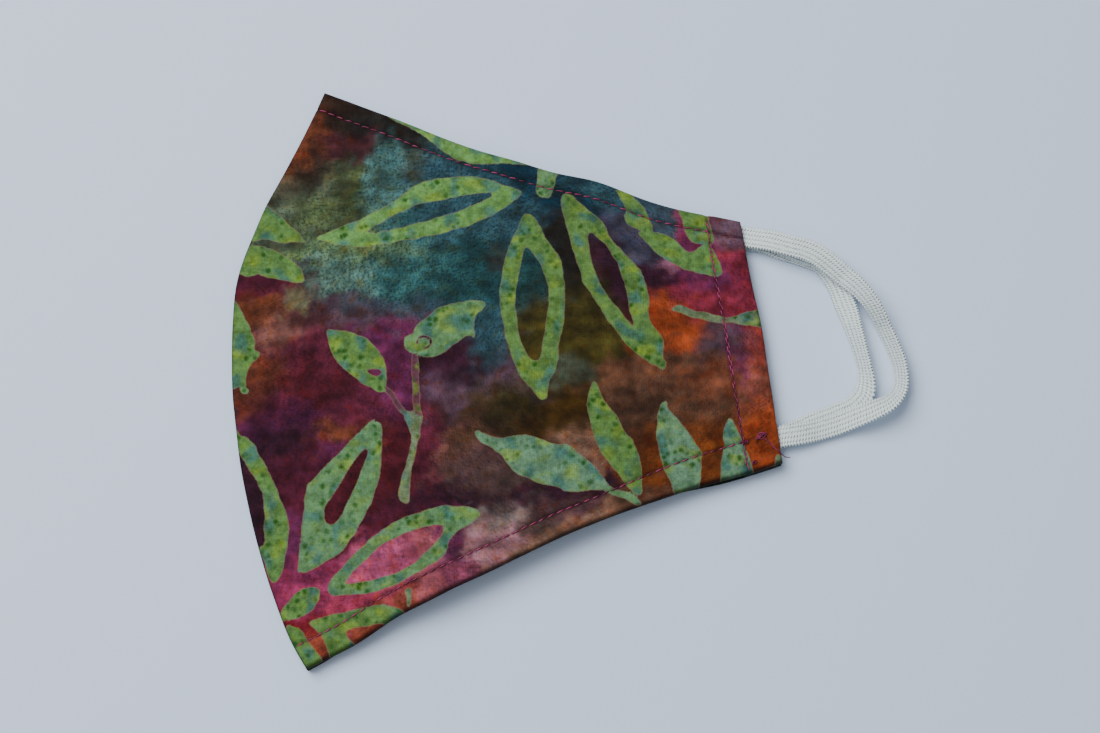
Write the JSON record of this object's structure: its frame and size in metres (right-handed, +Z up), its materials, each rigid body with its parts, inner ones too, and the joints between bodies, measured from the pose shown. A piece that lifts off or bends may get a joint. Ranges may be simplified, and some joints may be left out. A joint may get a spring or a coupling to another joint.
{
  "type": "cloth face mask",
  "caption": "Fitted cloth face mask folded flat along its curved centre seam, with flat elastic ear loops that hold it over the nose and mouth.",
  "frame": {"origin": "middle of the base of the whole mask as it lies, on the surface under it", "axes": "+X from the centre seam towards the ear loops, +Y from the chin edge towards the nose edge, +Z up from the surface"},
  "size_m": [0.1752, 0.1536, 0.0095],
  "materials": {
    "printed_cotton": "matt plain-weave cotton, resist-dyed with leaves",
    "white_elastic": "flat braided elastic, slightly silky",
    "sewing_thread": "polyester sewing thread"
  },
  "bodies": {
    "root": {"lower_panel": "printed_cotton", "upper_panel": "printed_cotton", "lower_ear_loop": "white_elastic", "upper_ear_loop": "white_elastic"}
  },
  "joints": []
}
